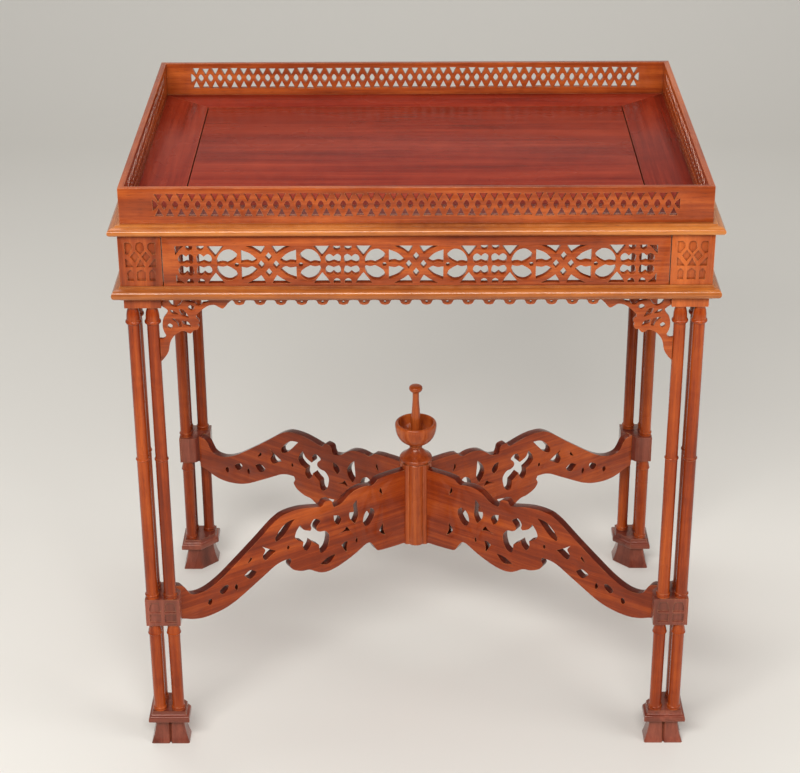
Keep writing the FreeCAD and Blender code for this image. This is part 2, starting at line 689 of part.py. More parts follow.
def post_and_finial():
    """Clustered post with its collar, the open cup on it, and the spindle that stands in the cup."""
    post = turned("centre_post", (
        ("0", "post_rise"), ("collar_radius", "post_rise"), ("collar_radius", "post_rise + 9"),
        ("collar_radius - 5", "post_rise + 14"), ("ring_radius", "post_rise + 14"),
        ("ring_radius", "post_rise + collar_rise - 4"),
        ("neck_radius", "post_rise + collar_rise - 4"),
        ("neck_radius", "post_rise + collar_rise"), ("0", "post_rise + collar_rise")))
    valley = "(post_shaft_spread / 2 + sqrt(post_shaft_radius^2 / 2 - post_shaft_spread^2 / 4))"
    cluster = [(x + valley, y + valley, "post_shaft_radius")
               for x, y in (("", "-"), ("", ""), ("-", ""), ("-", "-"))]
    pad(post, sketch(post, "XY_Plane", cluster), "post_rise")
    place(post, "0", "0", "stretcher_level")
    inside = "(cup_radius - cup_wall)"
    cup = turned("finial_cup", (
        ("0", "0"), ("cup_base_radius", "0"), ("cup_radius", "cup_rise * 0.42"),
        ("cup_radius", "cup_rise"), (inside, "cup_rise"),
        (inside, "cup_rise * 0.42 + cup_wall / 2"), ("0", "cup_rise * 0.42 + cup_wall / 2")))
    place(cup, "0", "0", CUP_LEVEL)
    spindle = turned("finial_spindle", (
        ("0", "0"), ("spindle_radius", "0"), ("spindle_radius", "spindle_rise"),
        ("button_radius", "spindle_rise"), ("button_radius", "spindle_rise + button_rise"),
        ("0", "spindle_rise + button_rise")))
    place(spindle, "0", "0", f"{CUP_LEVEL} + cup_rise * 0.42 + cup_wall / 2")


tray_floor()
for number in range(4):
    gallery(number)
    mouldings(number)
    frieze(number)
    fringe(number)
    for end_hand in (1, -1):
        bracket(number, end_hand)
    stile(number)
    leg(number)
    stretcher(number)
post_and_finial()

doc.recompute()
for thing in doc.Objects:
    if {"Invalid", "Error"} & set(thing.State):
        raise RuntimeError(f"{thing.Label} failed: {thing.State}")
for node in nodes:
    if node.Shape.isNull() or not node.Shape.isValid():
        raise RuntimeError(f"{node.Label} has no valid shape")
os.makedirs("parts", exist_ok=True)
for node in nodes:
    node.Shape.exportStep(os.path.join("parts", f"{node.Label}.step"))
print(len(nodes), "nodes")
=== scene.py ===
"""Dress the tray top tea table: sawn fretwork, turned shafts, carved blocks, polished mahogany.

Everything is worked in millimetres at the bench and brought to metres when a piece is seated.
Each side is drawn as the front is, X along it and Y inwards from the gallery's outer face, and
each leg as the front left one is, X and Y inwards from the gallery's outer corner.
"""
import math

import bmesh
import bpy
from mathutils import Matrix, Vector


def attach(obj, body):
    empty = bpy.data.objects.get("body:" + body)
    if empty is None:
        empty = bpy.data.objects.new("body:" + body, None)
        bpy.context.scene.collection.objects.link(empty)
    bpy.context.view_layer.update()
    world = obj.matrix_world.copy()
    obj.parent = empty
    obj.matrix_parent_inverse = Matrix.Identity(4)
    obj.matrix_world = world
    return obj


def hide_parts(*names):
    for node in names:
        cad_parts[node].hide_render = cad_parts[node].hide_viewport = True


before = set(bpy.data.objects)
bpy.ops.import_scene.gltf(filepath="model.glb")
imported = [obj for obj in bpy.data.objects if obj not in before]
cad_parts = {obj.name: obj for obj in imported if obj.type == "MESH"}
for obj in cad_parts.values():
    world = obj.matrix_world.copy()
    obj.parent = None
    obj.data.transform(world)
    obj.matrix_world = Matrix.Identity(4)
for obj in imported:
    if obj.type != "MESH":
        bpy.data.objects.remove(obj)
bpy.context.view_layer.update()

SIDES = ("front", "right", "rear", "left")
CORNERS = ("front_left", "front_right", "rear_right", "rear_left")
RUNS = (660, 460, 660, 460)  # outside of the gallery along each side
GALLERY_TOP = 744
TRAY = 702  # top of the tray's boards
SEAT = 690  # foot of the top moulding, on the frieze
FRIEZE = 628  # foot of the frieze, on the lower moulding
RAIL = 611  # foot of the rails
CAP = 599.6  # foot of the caps, on the long shafts
BLOCK_TOP = 210.8
BLOCK = 173.4  # foot of the mid blocks, on the short shafts
PLATE_TOP = 46.5
PLATE = 32.5  # foot of the foot plates, on the feet
WALL = 6.6  # thickness of the gallery
BOARD = 9  # thickness of the tray's boards
FACE = -3.3  # face of the frieze and of the corner blocks
STILE = 46  # inner faces of the corner blocks
FOOT = 19.8  # middle of a foot
CUT = 0.46  # share of a foot's side that its cut inner corner takes
MITRE_GAP = 0.04  # on each side of a mitre
ARRIS = 0.3  # how far the edges of sawn boards are eased


# ---------------------------------------------------------------- lines

def smooth_line(points, steps=5, closed=True):
    """Smooth line through flat points. A third value marks a point as a sharp corner."""
    line = []
    count = len(points)
    for index in range(count if closed else count - 1):
        here, there = points[index], points[(index + 1) % count]
        start, end = Vector(here[:2]), Vector(there[:2])
        line.append(start)
        if len(here) > 2 and len(there) > 2:
            continue
        before = start if len(here) > 2 else Vector(points[index - 1][:2])
        after = end if len(there) > 2 else Vector(points[(index + 2) % count][:2])
        leave, arrive = (end - before) / 2, (after - start) / 2
        for step in range(1, steps):
            t = step / steps
            line.append(start * (2 * t**3 - 3 * t**2 + 1) + leave * (t**3 - 2 * t**2 + t)
                        + end * (3 * t**2 - 2 * t**3) + arrive * (t**3 - t**2))
    if not closed:
        line.append(Vector(points[-1][:2]))
    return line


def circle(x, y, radius, steps=16):
    """Points round a drilled hole."""
    return [Vector((x + radius * math.cos(math.tau * i / steps),
                    y + radius * math.sin(math.tau * i / steps))) for i in range(steps)]


def moved(line, across=0, up=0, hand=1, tall=1):
    """A line mirrored left for right and top for bottom, then moved."""
    return [Vector((across + hand * point[0], up + tall * point[1])) for point in line]


def box_line(left, right, low, high):
    """Closed rectangle."""
    return [Vector(corner) for corner in ((left, low), (right, low), (right, high), (left, high))]


# ---------------------------------------------------------------- node trees

def new_tree(kind, name, takes, gives):
    """Tree with named inputs and outputs. Returns it with its input node and its output node."""
    tree = bpy.data.node_groups.new(name, kind + "NodeTree")
    for sockets, way in ((gives, "OUTPUT"), (takes, "INPUT")):
        for label, socket in sockets:
            tree.interface.new_socket(label, in_out=way, socket_type="NodeSocket" + socket)
    return tree, tree.nodes.new("NodeGroupInput"), tree.nodes.new("NodeGroupOutput")


def add_node(tree, kind, values=None, **settings):
    """A node with its settings, and with sockets given a value or a link by name or number."""
    node = tree.nodes.new(kind)
    for key, setting in settings.items():
        setattr(node, key, setting)
    for socket, given in (values or {}).items():
        if isinstance(given, bpy.types.NodeSocket):
            tree.links.new(given, node.inputs[socket])
        else:
            node.inputs[socket].default_value = given
    return node


def combined(tree, operation, first, second):
    """Two values through one sum."""
    return add_node(tree, "ShaderNodeMath", {0: first, 1: second}, operation=operation).outputs[0]


def shape_of(tree, source):
    """Shape of an object that the tree is given."""
    return add_node(tree, "GeometryNodeObjectInfo", {0: source}).outputs["Geometry"]


def joined(tree, shapes):
    """Several shapes as one."""
    node = add_node(tree, "GeometryNodeJoinGeometry")
    for shape in shapes:
        tree.links.new(shape, node.inputs[0])
    return node.outputs[0]


def repeated(tree, shape, count, pitch, hand, seed):
    """Copies of a shape in a row, each turned and stretched a little as hand work is."""
    span = combined(tree, "MULTIPLY", combined(tree, "SUBTRACT", count, 1.0), pitch)
    origin = add_node(tree, "ShaderNodeCombineXYZ", {0: combined(tree, "MULTIPLY", span, -0.5)})
    step = add_node(tree, "ShaderNodeCombineXYZ", {0: pitch})
    row = add_node(tree, "GeometryNodeMeshLine", {
        "Count": count, "Start Location": origin.outputs[0], "Offset": step.outputs[0]},
        mode="OFFSET")
    size = add_node(tree, "FunctionNodeRandomValue", {
        0: combined(tree, "SUBTRACT", 1.0, hand), 1: combined(tree, "ADD", 1.0, hand),
        "Seed": seed}, data_type="FLOAT_VECTOR")
    lean = add_node(tree, "FunctionNodeRandomValue", {2: -0.4, 3: 0.4, "Seed": seed + 1},
                    data_type="FLOAT")
    turn = add_node(tree, "ShaderNodeCombineXYZ", {
        2: combined(tree, "MULTIPLY", lean.outputs[1], hand)})
    copies = add_node(tree, "GeometryNodeInstanceOnPoints", {
        "Points": row.outputs[0], "Instance": shape, "Rotation": turn.outputs[0],
        "Scale": size.outputs[0]})
    return add_node(tree, "GeometryNodeRealizeInstances", {0: copies.outputs[0]}).outputs[0]


def end_in_wood(tree, given, made, shape):
    """Make copies real, give them their wood and hand them on."""
    real = add_node(tree, "GeometryNodeRealizeInstances", {0: shape})
    wood = add_node(tree, "GeometryNodeSetMaterial", {
        "Geometry": real.outputs[0], "Material": given.outputs["Wood"]})
    tree.links.new(wood.outputs[0], made.inputs[0])
    return tree


def make_saw_tree():
    """Board sawn to its edge lines, with two sets of openings repeated along it."""
    tree, given, made = new_tree(
        "Geometry", "sawn board",
        (("Edge", "Object"), ("Openings", "Object"), ("Count", "Int"),
         ("More Openings", "Object"), ("More Count", "Int"), ("Pitch", "Float"),
         ("Thickness", "Float"), ("Hand", "Float"), ("Wood", "Material")),
        (("Geometry", "Geometry"),))
    lines = [shape_of(tree, given.outputs["Edge"])]
    for label, count, seed in (("Openings", "Count", 3), ("More Openings", "More Count", 8)):
        lines.append(repeated(tree, shape_of(tree, given.outputs[label]), given.outputs[count],
                              given.outputs["Pitch"], given.outputs["Hand"], seed))
    face = add_node(tree, "GeometryNodeFillCurve", {0: joined(tree, lines)}, mode="NGONS")
    rise = add_node(tree, "ShaderNodeCombineXYZ", {2: given.outputs["Thickness"]})
    walls = add_node(tree, "GeometryNodeExtrudeMesh", {
        "Mesh": face.outputs[0], "Offset": rise.outputs[0], "Individual": False}, mode="FACES")
    back = add_node(tree, "GeometryNodeFlipFaces", {0: face.outputs[0]})
    whole = add_node(tree, "GeometryNodeMergeByDistance", {
        "Geometry": joined(tree, (walls.outputs[0], back.outputs[0])), "Distance": 0.001})
    return end_in_wood(tree, given, made, whole.outputs[0])


def make_copy_tree():
    """Copies of a piece stood on each point of the bench mesh."""
    tree, given, made = new_tree(
        "Geometry", "copies on points",
        (("Points", "Geometry"), ("Piece", "Object"), ("Wood", "Material")),
        (("Geometry", "Geometry"),))
    copies = add_node(tree, "GeometryNodeInstanceOnPoints", {
        "Points": given.outputs["Points"], "Instance": shape_of(tree, given.outputs["Piece"])})
    return end_in_wood(tree, given, made, copies.outputs[0])


def made_by(tree, base=None, **inputs):
    """Plain mesh that a tree makes. An underscore in an input's name stands for a space."""
    holder = bpy.data.objects.new("bench", base or bpy.data.meshes.new("bench"))
    bpy.context.collection.objects.link(holder)
    modifier = holder.modifiers.new("tree", "NODES")
    modifier.node_group = tree
    for item in tree.interface.items_tree:
        given = inputs.get(item.name.replace(" ", "_"))
        if item.in_out == "INPUT" and given is not None:
            modifier[item.identifier] = given
    graph = bpy.context.evaluated_depsgraph_get()
    mesh = bpy.data.meshes.new_from_object(holder.evaluated_get(graph), depsgraph=graph)
    bpy.data.objects.remove(holder)
    return mesh


def line_object(lines):
    """Curve object with closed flat lines for the saw to follow."""
    data = bpy.data.curves.new("lines", "CURVE")
    data.dimensions = "2D"
    for line in lines:
        spline = data.splines.new("POLY")
        spline.points.add(len(line) - 1)
        for point, (x, y) in zip(spline.points, line):
            point.co = (x, y, 0, 1)
        spline.use_cyclic_u = True
    holder = bpy.data.objects.new("lines", data)
    bpy.context.collection.objects.link(holder)
    return holder


# ---------------------------------------------------------------- bench work

def ease(shape, width):
    """Round every sharp edge of a shape a little."""
    bmesh.ops.recalc_face_normals(shape, faces=shape.faces)
    edges = [edge for edge in shape.edges if len(edge.link_faces) == 2
             and edge.calc_face_angle() > math.radians(28)]
    bmesh.ops.bevel(shape, geom=edges, offset=width, offset_type="OFFSET", segments=2,
                    profile=0.6, clamp_overlap=False, affect="EDGES")


def as_mesh(shape):
    """Mesh from a finished bmesh."""
    bmesh.ops.recalc_face_normals(shape, faces=shape.faces)
    mesh = bpy.data.meshes.new("shape")
    shape.to_mesh(mesh)
    shape.free()
    return mesh


def sawn(edge, openings=(), count=1, more=(), more_count=0, pitch=0.0, *, thickness,
         inwards=0.0, arris=ARRIS, hand=0.0, level=0.0):
    """Pierced board on edge, drawn about a level, its front at y = inwards."""
    holders = [line_object(edge), line_object(openings), line_object(more)]
    mesh = made_by(SAW, Edge=holders[0], Openings=holders[1], Count=count,
                   More_Openings=holders[2], More_Count=more_count, Pitch=float(pitch),
                   Thickness=float(thickness), Hand=float(hand), Wood=MAHOGANY)
    for holder in holders:
        bpy.data.objects.remove(holder)
    shape = bmesh.new()
    shape.from_mesh(mesh)
    stand = Matrix(((1, 0, 0, 0), (0, 0, -1, inwards + thickness), (0, 1, 0, 0), (0, 0, 0, 1)))
    shape.transform(stand)
    ease(shape, arris)
    board = as_mesh(shape)
    board.transform(Matrix.Translation((0, 0, level)))
    return board


def prism(plan, low, high, arris):
    """Straight block on a flat plan."""
    return lofted([[(x, y, low) for x, y in plan], [(x, y, high) for x, y in plan]], arris)


def lofted(plans, arris):
    """Solid through plans that have the same number of corners."""
    shape = bmesh.new()
    rings = [[shape.verts.new(point) for point in plan] for plan in plans]
    for low, high in zip(rings, rings[1:]):
        for index in range(len(low)):
            shape.faces.new((low[index - 1], low[index], high[index], high[index - 1]))
    shape.faces.new(rings[0][::-1])
    shape.faces.new(rings[-1])
    if arris:
        ease(shape, arris)
    return as_mesh(shape)


def turned(profile, segments):
    """Turned piece from (radius, height) points, from the bottom of the axis to its top."""
    shape = bmesh.new()
    rings = []
    for radius, height in profile:
        if radius < 1e-4:
            rings.append([shape.verts.new((0, 0, height))] * segments)
        else:
            rings.append([shape.verts.new((x, y, height))
                          for x, y in circle(0, 0, radius, segments)])
    for low, high in zip(rings, rings[1:]):
        for index in range(segments):
            corners = (low[index - 1], low[index], high[index], high[index - 1])
            shape.faces.new(list(dict.fromkeys(corners)))  # three corners at the axis
    return as_mesh(shape)


class Bench:
    """One piece of the table while it is put together from its parts."""

    def __init__(self, place=Matrix()):
        self.shape = bmesh.new()
        self.grain = self.shape.verts.layers.float_vector.new("grain_at")
        self.tone = self.shape.verts.layers.float.new("tone")
        self.place = place

    def add(self, mesh, grain, seed, walls=0.0):
        """Join a part on, its grain along x or z.

        Points nearer than walls to the middle of its thickness, the sawn walls and edges, take a
        dark tone: painted shade.
        """
        order = {"x": (0, 1, 2), "z": (2, 0, 1)}[grain]
        first = len(self.shape.verts)
        self.shape.from_mesh(mesh)
        self.shape.verts.ensure_lookup_table()
        shift = Vector((math.sin(seed * 12.9) * 3, math.sin(seed * 78.2), math.sin(seed * 37.7)))
        tone = math.sin(seed * 45.1 + 1.3)
        for vertex in self.shape.verts[first:]:
            at = vertex.co
            vertex[self.grain] = Vector(at[axis] for axis in order) * 0.001 + shift
            # Sawn walls and edges darkened: painted shade.
            vertex[self.tone] = tone - (6.0 if abs(at.y) < walls else 0.0)
            vertex.co = self.place @ at
        bpy.data.meshes.remove(mesh)
        return self

    def seat(self, name, *nodes, angle=32):
        """Finish the piece and put it in the place of its solids."""
        for vertex in self.shape.verts:
            vertex.co *= 0.001
        if self.place.determinant() < 0:
            bmesh.ops.reverse_faces(self.shape, faces=self.shape.faces)
        mesh = bpy.data.meshes.new(name)
        self.shape.to_mesh(mesh)
        self.shape.free()
        mesh.materials.append(FINISHES.get(name.split("_")[0], MAHOGANY))
        mesh.polygons.foreach_set("use_smooth", [True] * len(mesh.polygons))
        mesh.set_sharp_from_angle(angle=math.radians(angle))
        piece = bpy.data.objects.new(name, mesh)
        bpy.context.collection.objects.link(piece)
        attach(piece, "root")
        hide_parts(*nodes)


def side_place(side):
    """From the front's own frame to one of the four sides."""
    base = ((0, -RUNS[1] / 2, 0), (RUNS[0] / 2, 0, 0), (0, RUNS[1] / 2, 0),
            (-RUNS[0] / 2, 0, 0))[side]
    return Matrix.Translation(base) @ Matrix.Rotation(math.radians(90 * side), 4, "Z")


def corner_place(corner):
    """From the front left leg's own frame to one of the four corners."""
    across = RUNS[0] / 2 * (1 if corner in (1, 2) else -1)
    deep = RUNS[1] / 2 * (1 if corner in (2, 3) else -1)
    turn = Matrix.Rotation(math.radians(90 * corner), 4, "Z")
    return Matrix.Translation((across, deep, 0)) @ turn


# ---------------------------------------------------------------- polished mahogany

def scaled_noise(tree, position, scale, detail=4.0, roughness=0.6, distortion=0.0):
    """Noise stretched by its own scale on each axis."""
    stretched = add_node(tree, "ShaderNodeVectorMath", {0: position, 1: scale},
                         operation="MULTIPLY")
    return add_node(tree, "ShaderNodeTexNoise", {
        "Vector": stretched.outputs[0], "Scale": 1.0, "Detail": detail, "Roughness": roughness,
        "Distortion": distortion}).outputs[0]


def remapped(tree, source, low, high, to_low=0.0, to_high=1.0):
    """A value's range brought to another, and held inside it."""
    return add_node(tree, "ShaderNodeMapRange", {
        0: source, 1: low, 2: high, 3: to_low, 4: to_high}).outputs[0]


def colour_mix(tree, factor, first, second):
    """Two colours mixed by a factor."""
    return add_node(tree, "ShaderNodeMix", {0: factor, 6: first, 7: second},
                    data_type="RGBA").outputs[2]


def make_figure_group():
    """Mahogany figure: ribbon streaks, fine grain and open pores, along the group's X."""
    tree, given, made = new_tree(
        "Shader", "mahogany figure",
        (("Position", "Vector"), ("Tone", "Float"), ("Dark", "Color"), ("Middle", "Color"),
         ("Light", "Color")),
        (("Color", "Color"), ("Pores", "Float"), ("Height", "Float"), ("Gloss", "Float")))
    broad, narrow, fine, patch, ribbon, pore = (
        scaled_noise(tree, given.outputs["Position"], (along, across, across), *rest)
        for along, across, *rest in (
            (2.2, 38.0, 5.0, 0.55, 0.6), (6.0, 210.0, 4.0, 0.6, 0.4), (26.0, 1300.0, 3.0, 0.65),
            (6.0, 9.0, 3.0, 0.5), (34.0, 14.0, 2.0, 0.5, 1.2), (90.0, 2300.0, 2.0, 0.5)))
    pores = remapped(tree, pore, 0.60, 0.70)
    figure = combined(tree, "MULTIPLY", broad, 0.42)
    for layer, share in ((narrow, 0.24), (fine, 0.10), (patch, 0.16), (ribbon, 0.08),
                         (given.outputs["Tone"], 0.022)):
        figure = combined(tree, "ADD", figure, combined(tree, "MULTIPLY", layer, share))
    low = remapped(tree, figure, 0.36, 0.50)
    high = remapped(tree, figure, 0.49, 0.64)
    colour = colour_mix(tree, low, given.outputs["Dark"], given.outputs["Middle"])
    colour = colour_mix(tree, high, colour, given.outputs["Light"])
    colour = colour_mix(tree, combined(tree, "MULTIPLY", pores, 0.5), colour,
                        (0.035, 0.008, 0.006, 1))  # pores filled with old polish
    height = combined(tree, "SUBTRACT", combined(tree, "MULTIPLY", fine, 0.4),
                      combined(tree, "MULTIPLY", pores, 0.7))
    gloss = remapped(tree, patch, 0.35, 0.65)
    for label, source in (("Color", colour), ("Pores", pores), ("Height", height),
                          ("Gloss", gloss)):
        tree.links.new(source, made.inputs[label])
    return tree


def make_rubbing_and_painted_light_group():
    """Lighter, duller arrises from rubbing, partly a painted highlight; quirks darkened by
    painted shade and old polish.
    """
    tree, given, made = new_tree(
        "Shader", "rubbed and settled polish",
        (("Position", "Vector"), ("Color", "Color"), ("Worn", "Color"), ("Radius", "Float"),
         ("Amount", "Float")),
        (("Color", "Color"), ("Rubbed", "Float"), ("Settled", "Float")))
    # Edges lightened all round: rubbing, partly a painted highlight.
    bevel = add_node(tree, "ShaderNodeBevel", {"Radius": given.outputs["Radius"]}, samples=4)
    normal = add_node(tree, "ShaderNodeNewGeometry")
    facing = add_node(tree, "ShaderNodeVectorMath", {
        0: bevel.outputs[0], 1: normal.outputs["Normal"]}, operation="DOT_PRODUCT")
    edge = remapped(tree, facing.outputs["Value"], 0.98, 0.82)
    broken = remapped(tree, scaled_noise(tree, given.outputs["Position"], (60.0, 90.0, 90.0)),
                      0.40, 0.62)
    rubbed_highlight = combined(tree, "MULTIPLY", combined(tree, "MULTIPLY", edge, broken),
                      given.outputs["Amount"])
    # Recesses found by the AO node darken towards near black: painted shade, with some old
    # polish.
    shelter = add_node(tree, "ShaderNodeAmbientOcclusion", {"Distance": 0.005}, samples=6)
    painted_shade = remapped(tree, shelter.outputs["AO"], 0.70, 0.15)
    colour = colour_mix(tree, combined(tree, "MULTIPLY", painted_shade, 0.55), given.outputs["Color"],
                        (0.03, 0.008, 0.006, 1))
    colour = colour_mix(tree, rubbed_highlight, colour, given.outputs["Worn"])
    for label, source in (("Color", colour), ("Rubbed", rubbed_highlight), ("Settled", painted_shade)):
        tree.links.new(source, made.inputs[label])
    return tree


def make_mahogany(name, dark, middle, light, rubbing_highlight_amount, shine, coat):
    """French-polished mahogany for one part of the table."""
    material = bpy.data.materials.new(name)
    material.use_nodes = True
    tree = material.node_tree
    shader = tree.nodes["Principled BSDF"]
    where = add_node(tree, "ShaderNodeAttribute", attribute_name="grain_at")
    tone = add_node(tree, "ShaderNodeAttribute", attribute_name="tone")
    figure = add_node(tree, "ShaderNodeGroup", node_tree=FIGURE)
    rubbing_and_painted_light = add_node(tree, "ShaderNodeGroup", node_tree=RUBBING_AND_PAINTED_LIGHT)
    tree.links.new(where.outputs["Vector"], figure.inputs["Position"])
    tree.links.new(tone.outputs["Fac"], figure.inputs["Tone"])
    for label, colour in (("Dark", dark), ("Middle", middle), ("Light", light)):
        figure.inputs[label].default_value = (*colour, 1)
    tree.links.new(where.outputs["Vector"], rubbing_and_painted_light.inputs["Position"])
    tree.links.new(figure.outputs["Color"], rubbing_and_painted_light.inputs["Color"])
    # Colour of the lightened arrises: rubbing, partly a painted highlight.
    rubbing_and_painted_light.inputs["Worn"].default_value = (0.62, 0.27, 0.11, 1)
    rubbing_and_painted_light.inputs["Radius"].default_value = 0.0011
    rubbing_and_painted_light.inputs["Amount"].default_value = rubbing_highlight_amount
    tree.links.new(rubbing_and_painted_light.outputs["Color"], shader.inputs["Base Color"])
    rough = remapped(tree, figure.outputs["Gloss"], 0.0, 1.0, 0.20, 0.30)
    for mask, share in (("Rubbed", 0.22), ("Settled", 0.2)):
        rough = combined(tree, "ADD", rough,
                         combined(tree, "MULTIPLY", rubbing_and_painted_light.outputs[mask], share))
    tree.links.new(rough, shader.inputs["Roughness"])
    bump = add_node(tree, "ShaderNodeBump", {
        "Strength": 0.25, "Distance": 0.0003, "Height": figure.outputs["Height"]})
    tree.links.new(bump.outputs[0], shader.inputs["Normal"])
    shader.inputs["Specular IOR Level"].default_value = shine
    shader.inputs["Specular Tint"].default_value = (1.0, 0.62, 0.42, 1)
    shader.inputs["Coat Weight"].default_value = coat
    shader.inputs["Coat Roughness"].default_value = 0.12
    return material


FIGURE = make_figure_group()
RUBBING_AND_PAINTED_LIGHT = make_rubbing_and_painted_light_group()
MAHOGANY = make_mahogany("french polished mahogany", (0.13, 0.017, 0.005), (0.31, 0.051, 0.009),
                         (0.54, 0.122, 0.022), 0.75, 0.32, 0.32)
ARM_MAHOGANY = make_mahogany("stretcher mahogany", (0.09, 0.009, 0.003), (0.25, 0.031, 0.004),
                             (0.47, 0.085, 0.010), 0.7, 0.28, 0.28)
# Lighter, golden colours for the nosings: rubbing, partly a painted highlight.
NOSING_HIGHLIGHT_MAHOGANY = make_mahogany("rubbed nosing mahogany", (0.20, 0.040, 0.007),
                                (0.42, 0.118, 0.019), (0.64, 0.235, 0.050), 0.8, 0.4, 0.55)
# Darker, purplish colours for the blocks, plates and feet: a painted reflection of a bluish sky.
BLOCK_SKY_REFLECTION_MAHOGANY = make_mahogany("block mahogany, painted sky reflection", (0.08, 0.014, 0.009),
                               (0.18, 0.036, 0.020), (0.32, 0.080, 0.046), 0.6, 0.45, 0.5)
TRAY_MAHOGANY = make_mahogany("tray mahogany", (0.09, 0.007, 0.004), (0.20, 0.016, 0.007),
                              (0.31, 0.036, 0.014), 0.4, 0.1, 0.04)
FINISHES = {"tray": TRAY_MAHOGANY}  # by the first word of a piece's name
FINISHES.update(dict.fromkeys(("serpentine", "cluster"), ARM_MAHOGANY))
FINISHES.update(dict.fromkeys(("top", "lower"), NOSING_HIGHLIGHT_MAHOGANY))
FINISHES.update(dict.fromkeys(("panelled", "nosed", "flared"), BLOCK_SKY_REFLECTION_MAHOGANY))
SAW = make_saw_tree()
COPIES = make_copy_tree()


# ---------------------------------------------------------------- tray

def mitred_run(half, section, lean=1.0, arris=0.0):
    """Straight run of a section of (inwards, level) points, mitred towards both ends."""
    return lofted([[(hand * (half + (WALL - y) * lean - MITRE_GAP), y, z) for y, z in section]
                   for hand in (-1, 1)], arris)


def build_tray():
    """Field panel, its tongues under the end boards, and its four mitred border boards."""
    for side, name in enumerate(SIDES):
        width, other = ((50.8, 57.4), (57.4, 50.8))[side % 2]
        inner = WALL + width - (0.05, 0.35)[side % 2]
        section = ((WALL, TRAY - BOARD), (inner, TRAY - BOARD), (inner, TRAY), (WALL, TRAY))
        board = mitred_run(RUNS[side] / 2 - WALL, section, other / width, 0.25)
        Bench(side_place(side)).add(board, "x", 3 + side).seat(
            f"tray_border_{name}_board", f"tray_border_{name}")
    plans = [[(x, y, z) for x, y in box_line(-reach, reach, -172.55, 172.55)]
             for reach, z in ((265.6, TRAY - BOARD), (265.6, TRAY - 4.5), (264.9, TRAY - 4.4),
                              (264.9, TRAY))]
    Bench().add(lofted(plans, 0.2), "x", 1).seat("tray_field_board", "tray_field_panel")


def build_gallery(side):
    """Gallery rail: crossed bars with triangles and diamonds between them."""
    run = RUNS[side]
    count = (47, 31)[side % 2]
    pitch = 12.4
    end = count * pitch / 2
    middle = 724.2
    band = 13.3  # half the height of the lattice
    upper = smooth_line(((-4.6, band, 1), (4.6, band, 1), (2.2, band - 4.8), (0, band - 9.4, 1),
                         (-2.2, band - 4.8)), 3)
    lower = moved(upper, tall=-1)
    diamond = smooth_line(((-3.3, 0), (0, 5.3), (3.3, 0), (0, -5.3)), 3)
    edge = [box_line(-run / 2, run / 2, TRAY - middle, GALLERY_TOP - middle)]
    corner = smooth_line(((0, 6.4, 1), (0, -6.4, 1), (-3.6, -3.6), (-6.0, 0, 1), (-3.6, 3.6)), 3)
    edge += [moved(corner, hand * (end + 0.4), 0, hand) for hand in (1, -1)]
    rail = sawn(edge, (upper, lower), count, (diamond,), count - 1, pitch, thickness=WALL,
                hand=0.05, level=middle)
    for vertex in rail.vertices:  # mitre the ends
        limit = run / 2 - vertex.co.y - MITRE_GAP
        if abs(vertex.co.x) > run / 2 - WALL - 1:
            vertex.co.x = math.copysign(min(abs(vertex.co.x), limit), vertex.co.x)
    Bench(side_place(side)).add(rail, "x", 11 + side).seat(
        f"gallery_fret_{SIDES[side]}", f"gallery_{SIDES[side]}")


def build_mouldings(side):
    """Nosed mouldings over and under the frieze."""
    half = RUNS[side] / 2 - WALL
    nose = [(-4.6, 0.4, 1), (-4.9, 2.3, 1), (-7.8, 2.7), (-10.6, 3.9), (-12.5, 6.1), (-13.2, 9.0),
            (-12.5, 12.2), (-10.4, 14.6), (-7.6, 15.4, 1)]
    nose = smooth_line(nose, 4, closed=False)
    top = [(WALL + 13, TRAY - BOARD), (WALL, TRAY - BOARD), (WALL, TRAY), (-4.6, TRAY),
           *((y, TRAY - drop * 0.75) for y, drop in nose), (-6.4, SEAT), (WALL + 13, SEAT)]
    low = [(0.7, FRIEZE), (-4.6, FRIEZE), *((y, FRIEZE - drop * 0.95) for y, drop in nose),
           (-4.4, FRIEZE - nose[-1][1] * 0.95), (-4.0, RAIL), (0.7, RAIL)]
    for word, section, seed in (("top", top, 21), ("lower", low, 31)):
        Bench(side_place(side)).add(mitred_run(half, section), "x", seed + side).seat(
            f"{word}_nosing_{SIDES[side]}", f"{word}_moulding_{SIDES[side]}", angle=40)


# ---------------------------------------------------------------- frieze

BAND = 22.7  # half the height of the fret


